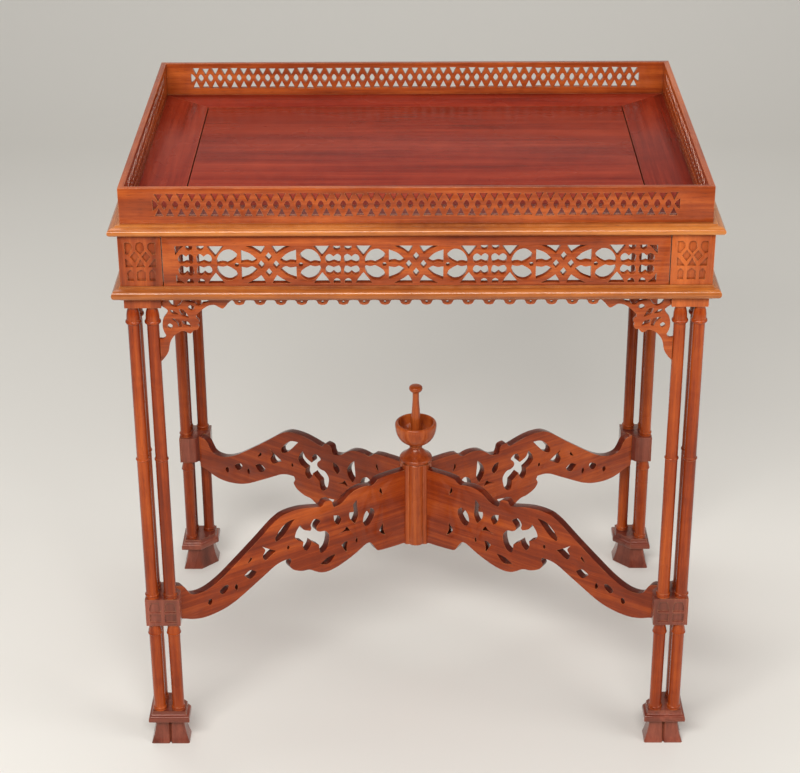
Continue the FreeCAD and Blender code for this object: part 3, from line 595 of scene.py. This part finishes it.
def crossing_openings(stretch):
    """Openings round the crossing of two ovals, drawn for one quarter and mirrored."""
    quarter = (
        ((3.6, BAND, 1), (25.0, BAND, 1), (16.0, 18.0), (8.8, 12.8, 1), (5.6, 18.0)),
        ((12.5, 5.8, 1), (20.6, 13.6), (30.7, 18.0, 1), (30.7, 2.4, 1), (24.2, 3.4), (18.6, 1.9)),
        ((34.8, 12.8, 1), (38.0, 16.2), (43.0, 18.8), (49.7, 17.6), (55.2, 12.4), (58.0, 5.0),
         (57.0, 1.1, 1), (51.5, 2.2), (46.5, 0.9, 1), (41.3, 3.6), (36.6, 7.2, 1)),
        ((49.8, BAND, 1), (68.6, BAND, 1), (64.8, 16.4), (59.6, 9.6, 1), (54.4, 16.4)),
    )
    openings = []
    for motif in quarter:
        line = smooth_line([(point[0] * stretch, *point[1:]) for point in motif], 4)
        openings += [moved(line, hand=hand, tall=tall) for hand in (1, -1) for tall in (1, -1)]
    side = smooth_line(((4.2, 0, 1), (8.3, 5.2, 1), (12.4, 0, 1), (8.3, -5.2, 1)), 3)
    tall = smooth_line(((-4.1, 9.6, 1), (0, 14.9, 1), (4.1, 9.6, 1), (0, 4.3, 1)), 3)
    for hand in (1, -1):
        openings += [moved(side, hand=hand), moved(tall, tall=hand),
                     circle(hand * 35.8 * stretch, 0, 2.4)]
    return openings


def window_openings():
    """Openings of a four-light window, drawn for one quarter and mirrored."""
    quarter = (
        ((1.8, 6.6), (3.6, 1.4), (9.6, 3.2, 1), (15.8, 1.2), (18.9, 5.0), (18.2, 10.4),
         (14.2, 12.8), (10.0, 9.8, 1), (5.8, 13.0), (2.1, 10.6)),
        ((2.1, BAND, 1), (10.4, BAND, 1), (9.6, 18.9), (6.3, 16.8), (3.0, 18.7)),
    )
    return [moved(smooth_line(motif, 4), hand=hand, tall=tall)
            for motif in quarter for hand in (1, -1) for tall in (1, -1)]


def build_frieze(side):
    """Fret rail: interlaced ovals with a four-light window between each pair."""
    half = RUNS[side] / 2 - STILE - 0.03
    pairs = (3, 2)[side % 2]
    window = 22  # half a window's width
    fret = half - 14.4
    pitch = 2 * (fret - window) / pairs
    middle = SEAT - 36.2
    edge = [box_line(-half, half, FRIEZE - middle, SEAT - middle)]
    corner = smooth_line(((0, BAND, 1), (-9.6, BAND, 1), (-4.4, 17.4), (0, 11.6, 1)), 3)
    edge += [moved(corner, hand * fret, 0, hand, tall) for hand in (1, -1) for tall in (1, -1)]
    board = sawn(edge, crossing_openings(pitch / 165), pairs, window_openings(), pairs + 1, pitch,
                 thickness=8, inwards=FACE, hand=0.012, level=middle)
    tongue = prism(box_line(-half, half, 0.75, 8.7), RAIL, FRIEZE, 0)
    Bench(side_place(side)).add(board, "x", 41 + side).add(tongue, "x", 41 + side).seat(
        f"frieze_fret_{SIDES[side]}", f"frieze_{SIDES[side]}")


def build_fringe(side):
    """Scalloped strip under the frieze, a small hole in each scallop."""
    half = RUNS[side] / 2 - 118
    count = (18, 9)[side % 2]
    pitch = 2 * half / count
    outline = [(half, 0, 1), (-half, 0, 1), (-half, -3, 1)]
    for index in range(count):
        centre = -half + (index + 0.5) * pitch
        outline += [(centre - 8.2, -2.6), (centre - 6.4, -4.0), (centre - 4.6, -7.2),
                    (centre, -8.5), (centre + 4.6, -7.2), (centre + 6.4, -4.0),
                    (centre + 8.2, -2.6)]
    outline.append((half, -3, 1))
    strip = sawn([smooth_line(outline, 3)], [circle(0, -4.6, 1.4, 12)], count, pitch=pitch,
                 thickness=3.7, inwards=0.7, hand=0.03, level=RAIL)
    Bench(side_place(side)).add(strip, "x", 51 + side).seat(
        f"scalloped_fringe_{SIDES[side]}", f"fringe_{SIDES[side]}")


# ---------------------------------------------------------------- legs

def square(outer, side, cut=0.0):
    """Plan of a leg piece, its inner corner cut off."""
    far = outer + side
    return [(outer, outer), (far, outer), (far, far - cut), (far - cut, far), (outer, far)]


def carved_faces(openings, outer, far, low, high, depth, sills=()):
    """Both outer faces of a leg piece, a pattern sunk through them, its sills sloped up."""
    faces = []
    for start in (outer, outer + depth):
        face = sawn([box_line(start, far, low, high), *openings], thickness=depth,
                    inwards=outer, arris=0.25)
        for vertex in face.vertices:
            if (vertex.co.y > outer + depth - 0.3
                    and any(abs(vertex.co.z - sill) < 0.4 for sill in sills)):
                vertex.co.z += 1.5
        faces.append(face)
    faces[1].transform(Matrix(((0, 1, 0, 0), (1, 0, 0, 0), (0, 0, 1, 0), (0, 0, 0, 1))))
    faces[1].flip_normals()
    return faces


def arch(left, right, low, high):
    """Outline of a round-topped sinking."""
    middle = (left + right) / 2
    spring = high - min(3.4, (right - left) / 2)
    return smooth_line(((left, low, 1), (right, low, 1), (right, spring, 1), (middle, high),
                        (left, spring, 1)), 4)


def blind_fret():
    """Sunk lattice of the corner blocks: arches under triangles, diamonds and pointed lights."""
    middle = 21.35
    openings = [arch(middle + centre - width / 2, middle + centre + width / 2, 634.5, 648.0)
                for centre, width in ((-12.2, 7.0), (0, 10.0), (12.2, 6.6))]
    motifs = [((-5.0, 651.2, 1), (5.0, 651.2, 1), (0, 661.0, 1)),
              ((-4.9, 672.0, 1), (0, 666.4, 1), (4.9, 672.0, 1), (4.6, 677.0), (2.6, 680.8),
               (-2.6, 680.8), (-4.6, 677.0))]
    paired = (((8.2, 651.2, 1), (17.0, 651.2, 1), (17.0, 661.6, 1), (14.4, 659.6, 1)),
              ((1.3, 663.6, 1), (6.4, 670.2, 1), (11.5, 663.6, 1), (6.4, 656.8, 1)),
              ((17.0, 667.0, 1), (17.0, 680.8, 1), (11.4, 680.8), (8.8, 677.6), (8.6, 673.2, 1),
               (14.0, 666.2, 1)))
    for hand in (1, -1):
        motifs += [[(x * hand, *rest) for x, *rest in motif] for motif in paired]
    return openings + [smooth_line([(middle + x, *rest) for x, *rest in motif], 3)
                       for motif in motifs]


def build_stile(corner):
    """Corner block with blind fret on both outer faces, and the cap under it."""
    depth = 2.8
    core = FACE + depth
    bench = Bench(corner_place(corner))
    for part in (prism(box_line(core, 45, core, 45), FRIEZE, SEAT, 0.2),
                 prism(box_line(0.7, STILE, 0.7, STILE), RAIL, FRIEZE, 0),
                 prism(square(-1, 42), CAP, RAIL - 0.05, 0.5),
                 *carved_faces(blind_fret(), FACE, 44.9, FRIEZE + 0.05, SEAT - 0.05, depth)):
        bench.add(part, "z", 61 + corner)
    bench.seat(f"corner_block_{CORNERS[corner]}", f"corner_stile_{CORNERS[corner]}")


LONG_SHAFT = (
    (0, 0, 1), (8.4, 0, 1), (8.2, 0.8), (7.8, 2.0), (7.8, 2.6, 1), (8.5, 3.2), (8.8, 4.2),
    (8.5, 5.2), (7.8, 5.9, 1), (7.5, 7.6), (7.4, 30), (7.4, 189.6, 1), (8.1, 190.3),
    (8.4, 191.2), (8.1, 192.1), (7.3, 192.8, 1), (7.2, 196), (7.0, 366.6, 1), (8.8, 367.6),
    (9.5, 369.3), (8.9, 371.0), (8.0, 371.9, 1), (8.0, 374.4), (7.7, 378.8), (6.9, 382.8),
    (6.1, 385.4), (6.1, 386.4, 1), (6.9, 387.2), (6.9, 388.8, 1), (0, 388.8, 1))
SHORT_SHAFT = (
    (0, 0, 1), (8.4, 0, 1), (8.2, 0.7), (7.8, 1.6), (7.8, 2.0, 1), (8.4, 2.6), (8.7, 3.4),
    (8.4, 4.2), (7.8, 4.8, 1), (7.5, 6.4), (7.4, 20), (7.5, 111.4, 1), (8.5, 112.0),
    (8.9, 113.0), (8.5, 114.0), (8.2, 114.6, 1), (8.1, 116.4), (7.4, 119.6), (6.9, 123.0),
    (6.9, 124.6, 1), (7.5, 125.2), (7.6, 126.9, 1), (0, 126.9, 1))


def build_shafts(corner):
    """Three long and three short turned shafts of a leg."""
    bench = Bench(corner_place(corner))
    for profile, low, near, far in ((LONG_SHAFT, BLOCK_TOP, 7.5, 29.5),
                                    (SHORT_SHAFT, PLATE_TOP, 8.0, 31.0)):
        mesh = turned(smooth_line(profile, 4, closed=False), 36)
        holder = bpy.data.objects.new("shaft", mesh)
        bpy.context.collection.objects.link(holder)
        points = bpy.data.meshes.new("feet of the shafts")
        points.from_pydata([(near, near, low), (far, near, low), (near, far, low)], [], [])
        shafts = made_by(COPIES, points, Piece=holder, Wood=MAHOGANY)
        bpy.data.objects.remove(holder)
        bench.add(shafts, "z", 71 + corner + low / 100)
    bench.seat(f"cluster_shafts_{CORNERS[corner]}", f"leg_shafts_{CORNERS[corner]}", angle=40)


def build_block(corner):
    """Mid block with four sunk panels on each outer face, the upper two with arched heads."""
    depth = 2.0
    sills = (177.5, 192)
    panels = []
    for left in (3.9, 22.3):
        panels.append(box_line(left, left + 13.8, sills[0], 189.2))
        panels.append(smooth_line(((left, sills[1], 1), (left + 13.8, sills[1], 1),
                                   (left + 13.4, 199.4), (left + 11.4, 206, 1),
                                   (left + 2.4, 206, 1), (left + 0.4, 199.4)), 4))
    bench = Bench(corner_place(corner))
    for part in (prism(square(-1 + depth, 42 - depth, 20), BLOCK, BLOCK_TOP, 0.4),
                 *carved_faces(panels, -1, 40.97, BLOCK + 0.03, BLOCK_TOP - 0.03, depth, sills)):
        bench.add(part, "z", 81 + corner)
    bench.seat(f"panelled_block_{CORNERS[corner]}", f"mid_block_{CORNERS[corner]}")


def build_foot(corner):
    """Nosed plate and flared foot with a groove down each outer face."""
    name = CORNERS[corner]
    plans = []
    for side, level in ((49.4, PLATE), (50.6, 33.2), (51.0, 34.6), (51.0, 36.8), (50.6, 38.6),
                        (49.6, 40.0), (47.6, 40.9), (45.4, 41.2), (43.6, 41.9), (42.5, 43.2),
                        (42.0, 45.0), (42.0, 46.0), (41.4, PLATE_TOP)):
        plans.append([(x, y, level) for x, y in square(FOOT - side / 2, side, side * CUT)])
    Bench(corner_place(corner)).add(lofted(plans, 0), "x", 91 + corner).seat(
        f"nosed_plate_{name}", f"foot_plate_{name}", angle=30)
    plans = []
    edge = 1.6
    groove = 1.9  # half its width
    for step in range(11):
        t = step / 10
        side = 35 + 13 * (1 - t) ** 1.9
        outer, far = FOOT - side / 2, FOOT + side / 2
        plans.append([(x, y, PLATE * t) for x, y in (
            (outer, outer + edge), (outer + edge, outer), (FOOT - groove, outer),
            (FOOT, outer + 3.6), (FOOT + groove, outer), (far - edge, outer),
            (far, outer + edge), (far, far - side * CUT), (far - side * CUT, far),
            (outer + edge, far), (outer, far - edge), (outer, FOOT + groove),
            (outer + 3.6, FOOT), (outer, FOOT - groove))])
    Bench(corner_place(corner)).add(lofted(plans, 0.3), "z", 95 + corner).seat(
        f"flared_foot_{name}", f"foot_{name}", angle=30)


# ---------------------------------------------------------------- brackets

BRACKET_EDGE = (
    (209.6, 611, 1), (209.6, 606.8, 1), (213.8, 603.0), (217.4, 598.4), (220.4, 596.6),
    (224.4, 598.6), (229.4, 601.2), (236.0, 600.2), (241.5, 596.8), (247.4, 591.6),
    (250.2, 588.4), (250.4, 585.0, 1), (247.0, 580.6), (249.0, 577.0, 1), (247.9, 573.4),
    (250.2, 570.2, 1), (253.8, 569.6, 1), (257.6, 565.6), (261.4, 566.6, 1), (264.6, 568.8),
    (269.0, 568.2), (274.0, 565.2), (278.8, 560.0), (281.6, 554.4), (283.0, 549.0, 1),
    (284.2, 543.0), (287.4, 537.2), (293.0, 530.4, 1), (293.4, 530.4, 1), (293.4, 559.0, 1),
    (290.6, 558.6), (287.6, 560.0), (285.8, 563.2, 1), (288.4, 569.0), (289.4, 576.0),
    (288.2, 584.0), (284.0, 590.2), (282.8, 595.0), (288.9, 599.8, 1), (288.9, 611, 1))
BRACKET_OPENINGS = (
    ((233.4, 608.7, 1), (262.6, 608.7, 1), (261.8, 606.2), (257.0, 605.0), (252.0, 603.6),
     (248.6, 600.6), (245.0, 600.8), (242.0, 603.4), (237.0, 604.4)),
    ((264.6, 608.7, 1), (281.2, 608.7, 1), (280.2, 604.4), (277.4, 600.4), (272.6, 598.8),
     (268.8, 601.2), (266.2, 605.0)),
    ((252.9, 598.4), (256.2, 600.2), (258.6, 597.6), (255.4, 595.0)),
    ((260.0, 586.4, 1), (262.4, 591.0), (265.0, 594.6), (268.4, 594.6, 1), (267.4, 590.6),
     (265.2, 588.0)),
    ((271.2, 589.8, 1), (274.4, 593.0), (279.4, 594.4, 1), (276.8, 590.6)),
    ((258.0, 574.8, 1), (260.6, 579.6), (265.6, 581.0, 1), (264.2, 576.8)),
    ((268.4, 575.0, 1), (269.0, 579.6), (271.2, 582.6), (277.6, 583.2, 1), (274.6, 580.4),
     (272.2, 578.0), (271.2, 574.8, 1)),
    ((278.5, 575.0), (281.0, 577.4), (283.3, 574.8), (280.6, 572.2)),
)


def build_bracket(side, hand):
    """Leafy bracket in the angle of rail and leg."""
    run = RUNS[side]
    start = run / 2 - 330  # drawn for the long sides

    def fitted(motif, share=1.0):
        middle = [sum(point[axis] for point in motif) / len(motif) for axis in (0, 1)]
        line = smooth_line([(middle[0] + (point[0] - middle[0]) * share + start,
                             middle[1] + (point[1] - middle[1]) * share, *point[2:])
                            for point in motif], 4)
        return line if hand > 0 else moved(line, hand=-1)[::-1]

    lines = [fitted(BRACKET_EDGE)] + [fitted(motif, 1.0 if motif[0][1] > 604 else 1.3)
                                      for motif in BRACKET_OPENINGS]
    board = sawn(lines, thickness=5, inwards=4.5)
    ends = (("left", "right"), ("front", "rear"))[side % 2]
    end = ends[(hand > 0) != (side in (2, 3))]
    name = f"{SIDES[side]}_{end}"
    Bench(side_place(side)).add(board, "x", 101 + side + hand / 3).seat(
        f"leaf_bracket_{name}", f"bracket_{name}")


# ---------------------------------------------------------------- stretchers and post

REACH = 359.1  # from the middle of the table to an arm's outer end
TOP_LINE = (
    (11, 112.4, 1), (40, 113.0), (55, 112.6), (63.6, 111.2, 1), (66, 108.4), (71.8, 105.6),
    (78, 107.0), (86, 107.8), (93, 107.2), (100.5, 105.2), (108, 100.8), (114.2, 95.8),
    (120.4, 92.7), (128.6, 91.4, 1), (130.4, 94.4), (132, 100.8), (135.4, 103.2), (142.4, 103.6),
    (145.4, 99.6), (148.9, 98.1, 1), (155, 99.6), (165, 102.2), (177.4, 104.6), (190, 105.3),
    (202.2, 104.2), (210, 101.4), (219.6, 95.8), (229.5, 88.3), (240, 80.2), (264.2, 62.7),
    (289, 45.4), (301.5, 38.3), (311.4, 33.9), (320.4, 31.6), (330, 31.4), (337, 33.6),
    (341.4, 38.6), (346, 46.4), (352, 50.8), (366, 53.4, 1))
LOW_LINE = (
    (366, 6.0, 1), (351, 2.7), (338.6, -2.3), (326.2, -5.4), (314, -6.0), (301.4, -4.8),
    (289, -2.3), (276.6, 2.1), (266.6, 7.1), (254.2, 13.9), (241.8, 20.8), (229.5, 27.7),
    (218.4, 33.9), (208.4, 37.1), (200.2, 37.7), (195.8, 37.8, 1), (194.0, 33.3), (196.4, 27.3),
    (192.3, 20.3), (184.8, 15.8), (177.4, 13.1), (169.8, 12.1), (165, 10.2), (157.5, 5.2),
    (150, 1.4), (140.2, -0.2), (127.8, 1.4), (115.4, 5.2), (103, 10.2), (93, 15.2),
    (83.0, 20.8), (78.0, 22.1), (74.4, 20.8), (69.5, 14.6), (65.7, 8.3), (60.8, 5.2),
    (41, 3.9), (11, 3.4, 1))
PIERCINGS = (
    ((57.8, 98.4, 1), (59.8, 93), (55.4, 87.2, 1), (56.6, 93)),
    ((94.9, 91.4, 1), (102, 84), (106.4, 74), (104.0, 65), (98, 57.6, 1), (93.4, 67), (94.0, 81)),
    ((69.0, 60), (68.6, 68), (74.6, 72.8), (82.4, 68), (85.6, 57), (82.0, 49), (75.6, 50)),
    ((55.2, 44.2, 1), (60.4, 36), (57.6, 30), (51.8, 25.8, 1), (54.6, 34)),
    ((129.8, 79.4, 1), (128.8, 71), (126.6, 66.8), (122.6, 63.2, 1), (118.6, 70), (122.6, 77)),
    ((105.4, 49.2, 1), (110.6, 56.6), (114.0, 53.2), (122.0, 49.6, 1), (113.6, 51.0)),
    ((95.4, 36.0), (97.4, 31.8), (96.0, 28.4), (94.4, 32.0)),
    ((109.2, 34.6, 1), (114, 35.2), (118.6, 31.8, 1), (114.6, 24), (111.4, 19.8), (111.2, 27)),
    ((128.2, 22.0, 1), (140.0, 20.4), (151.6, 14.4, 1), (146, 12.2), (139.0, 11.2), (133.6, 15)),
    ((142.8, 60.8), (137.2, 53.0), (138.0, 43.2), (141.4, 34.6), (147.6, 30.6), (151.4, 33.2),
     (152.4, 43.4, 1), (157.6, 47.2), (163.4, 52.6, 1), (165.6, 46.2), (171.2, 41.2),
     (176.0, 47.2), (175.4, 55.6, 1), (182.4, 59.6), (187.4, 65.8), (185.6, 73.2),
     (182.4, 77.8), (179.4, 81.4, 1), (175.0, 73.4), (165.0, 68.2, 1), (163.2, 71.2),
     (163.8, 77.2), (158.2, 83.4), (150.0, 78.0), (155.0, 71.6), (155.6, 66.0), (150.6, 62.4)),
    ((187.2, 92.8, 1), (198.4, 91.4), (208.2, 84.4), (216.2, 74.4, 1), (214.6, 68.8),
     (205.2, 73.2), (197.2, 81.2)),
    ((215.8, 55.6, 1), (224.6, 60.8), (235.0, 67.8, 1), (231.0, 61.4), (235.0, 53.2),
     (230.8, 47.2), (221.0, 52.8)),
    ((196.0, 54.6), (197.8, 57.6), (199.6, 54.6), (197.8, 51.6)),
    ((251.8, 58.4, 1), (256.8, 50.8), (250.6, 54.6)),
    ((244.6, 34.6, 1), (253.2, 39.8), (262.4, 35.2, 1), (254.8, 27.6), (248.6, 29.6)),
    ((274.2, 26.6), (276.6, 22.2), (273.6, 17.6), (272.2, 22.0)),
    ((285.4, 28.4), (290.2, 29.8), (298.0, 24.4), (294.0, 18.6), (287.4, 22.4)),
    ((309.8, 16.8), (313.0, 17.2), (315.2, 12.4), (311.8, 9.2), (309.4, 12.4)),
)


def build_stretcher(corner):
    """Pierced serpentine arm from the post to the cut corner of a mid block."""
    lines = [smooth_line(TOP_LINE + LOW_LINE, 4)]
    lines += [smooth_line(motif) for motif in PIERCINGS]
    board = sawn([moved(line, up=160) for line in lines], thickness=11, inwards=-5.5, arris=0.45)
    angle = math.atan2(195, 295)
    for vertex in board.vertices:  # the outer end lies flat on the cut corner
        if vertex.co.x > REACH - 3:
            limit = REACH - vertex.co.y * math.tan(math.radians(45) - angle) - 0.03
            vertex.co.x = min(vertex.co.x, limit)
    turns = (math.pi + angle, -angle, angle, math.pi - angle)
    place = Matrix.Rotation(turns[corner], 4, "Z")
    if corner in (1, 3):
        place = place @ Matrix.Scale(-1, 4, (0, 1, 0))
    # Its sawn walls and top edge are darkened: painted shade.
    Bench(place).add(board, "x", 111 + corner, walls=5.2).seat(
        f"serpentine_arm_{CORNERS[corner]}", f"stretcher_{CORNERS[corner]}")


def build_post():
    """Clustered post and its collar, open cup, and the spindle that stands in the cup."""
    plan = []
    radius = 12.2  # of each of the four shafts
    for quarter in range(4):
        turn = Matrix.Rotation(math.radians(90 * quarter), 2)
        for step in range(14):
            way = math.radians(-76 + 152 * step / 14)
            plan.append(turn @ Vector((8.9 + radius * math.cos(way), radius * math.sin(way))))
    plans = [[(x * share, y * share, level) for x, y in plan] for share, level in (
        (0.88, 160.8), (0.94, 161.2), (0.98, 162.2), (1, 163.8), (1, 279.2), (0.97, 280.0))]
    collar = ((0, 279.4, 1), (16.0, 279.4, 1), (19.4, 279.9), (20.9, 281.2), (21.3, 283.0),
              (20.9, 284.9), (19.6, 286.4, 1), (18.6, 287.0), (15.2, 289.4), (11.6, 292.8),
              (8.8, 296.0), (7.6, 298.0, 1), (7.4, 299, 1), (0, 299, 1))
    core = [(-16.9, -13.4), (-13.4, -16.9), (13.4, -16.9), (16.9, -13.4), (16.9, 13.4),
            (13.4, 16.9), (-13.4, 16.9), (-16.9, 13.4)]
    Bench().add(lofted(plans, 0), "z", 121).add(prism(core, 161.6, 279.6, 0.4), "z", 121).add(
        turned(smooth_line(collar, closed=False), 64), "z", 122).seat(
        "turned_post", "centre_post", angle=30)
    cup = ((0, 299, 1), (7.4, 299, 1), (8.4, 299.8), (8.6, 300.8), (7.8, 301.8, 1),
           (7.6, 303.6), (8.6, 305.0, 1), (12.6, 305.6), (17.4, 308.2), (22.2, 313.2),
           (25.6, 320.6), (26.9, 328.4), (26.9, 332.0), (26.0, 334.0), (24.4, 334.8),
           (22.9, 334.2, 1), (22.2, 331.0), (20.4, 323.0), (15.4, 316.4), (8.0, 313.2),
           (0, 312.4, 1))
    Bench().add(turned(smooth_line(cup, closed=False), 64), "z", 123).seat(
        "turned_cup", "finial_cup", angle=30)
    spindle = ((0, 312.0, 1), (4.6, 312.2, 1), (6.2, 314.6), (6.7, 319.0), (6.6, 328.0),
               (6.2, 338.0), (5.2, 352.0), (4.3, 366.0), (4.2, 376.4), (4.8, 378.4, 1),
               (6.8, 379.4), (8.3, 381.4), (8.6, 383.6), (7.6, 386.0), (4.4, 387.2),
               (0, 387.5, 1))
    Bench().add(turned(smooth_line(spindle, closed=False), 40), "z", 125).seat(
        "turned_spindle", "finial_spindle", angle=30)


build_tray()
for number in range(4):
    build_gallery(number)
    build_mouldings(number)
    build_frieze(number)
    build_fringe(number)
    for towards in (1, -1):
        build_bracket(number, towards)
    build_stile(number)
    build_shafts(number)
    build_block(number)
    build_foot(number)
    build_stretcher(number)
build_post()


# ---------------------------------------------------------------- studio

def make_plain(name, colour):
    """Matt paper for the floor and backdrop."""
    material = bpy.data.materials.new(name)
    material.use_nodes = True
    shader = material.node_tree.nodes["Principled BSDF"]
    shader.inputs["Base Color"].default_value = (*colour, 1)
    shader.inputs["Roughness"].default_value = 0.95
    shader.inputs["Specular IOR Level"].default_value = 0.1
    return material


def build_stage():
    """Pale floor that curves up into a pale backdrop."""
    shape = bmesh.new()
    foot, sweep = 2.0, 1.0  # where the curve starts, and its radius
    line = [(-6.0, 0.0), (foot, 0.0)]
    line += [(foot + sweep * math.sin(a), sweep - sweep * math.cos(a))
             for a in (math.radians(9 * step) for step in range(1, 11))]
    line += [(foot + sweep, 5.0)]
    rows = [[shape.verts.new((x, y, z)) for y, z in line] for x in (-6.0, 6.0)]
    for index in range(len(line) - 1):
        shape.faces.new((rows[0][index], rows[1][index], rows[1][index + 1], rows[0][index + 1]))
    mesh = bpy.data.meshes.new("studio floor")
    shape.to_mesh(mesh)
    shape.free()
    mesh.polygons.foreach_set("use_smooth", [True] * len(mesh.polygons))
    mesh.materials.append(make_plain("studio paper", (0.76, 0.73, 0.67)))
    floor = bpy.data.objects.new("studio_floor", mesh)
    bpy.context.collection.objects.link(floor)


def add_lamp(name, size, power, place, target):
    """Large soft lamp that points at a target."""
    lamp = bpy.data.lights.new(name, "AREA")
    lamp.shape = "RECTANGLE"
    lamp.size, lamp.size_y = size
    lamp.energy = power
    holder = bpy.data.objects.new(name, lamp)
    holder.location = place
    aim = Vector(target) - Vector(place)
    holder.rotation_euler = aim.to_track_quat("-Z", "Y").to_euler()
    bpy.context.collection.objects.link(holder)


def build_studio():
    """World, lamps and camera."""
    scene = bpy.context.scene
    world = bpy.data.worlds.new("studio")
    world.use_nodes = True
    scene.world = world
    background = world.node_tree.nodes["Background"]
    background.inputs["Color"].default_value = (0.93, 0.95, 1.0, 1)
    background.inputs["Strength"].default_value = 0.27
    add_lamp("key", (2.4, 0.7), 72, (-0.5, -2.1, 2.1), (0, 0, 0.45))
    add_lamp("fill", (1.4, 1.4), 20, (2.0, -1.2, 1.6), (0, 0, 0.4))
    add_lamp("top", (1.6, 1.6), 22, (-0.3, 0.6, 2.6), (0, 0, 0.5))
    camera = bpy.data.cameras.new("camera")
    camera.sensor_fit = "HORIZONTAL"
    camera.sensor_width = 36
    camera.lens = 2056.88 / 800 * camera.sensor_width  # focal length and picture width in pixels
    holder = bpy.data.objects.new("camera", camera)
    yaw, pitch, roll = -0.005821, -0.460012, -0.005169
    ahead = Vector((math.sin(yaw) * math.cos(pitch), math.cos(yaw) * math.cos(pitch),
                    math.sin(pitch)))
    right = Vector((math.cos(yaw), -math.sin(yaw), 0))
    up = right.cross(ahead)
    right, up = (right * math.cos(roll) + up * math.sin(roll),
                 up * math.cos(roll) - right * math.sin(roll))
    turn = Matrix((right, up, -ahead)).transposed().to_4x4()
    holder.matrix_world = Matrix.Translation((-0.00644, -2.35795, 1.55396)) @ turn
    bpy.context.collection.objects.link(holder)
    scene.camera = holder
    scene.view_settings.view_transform = "Standard"


build_stage()
build_studio()
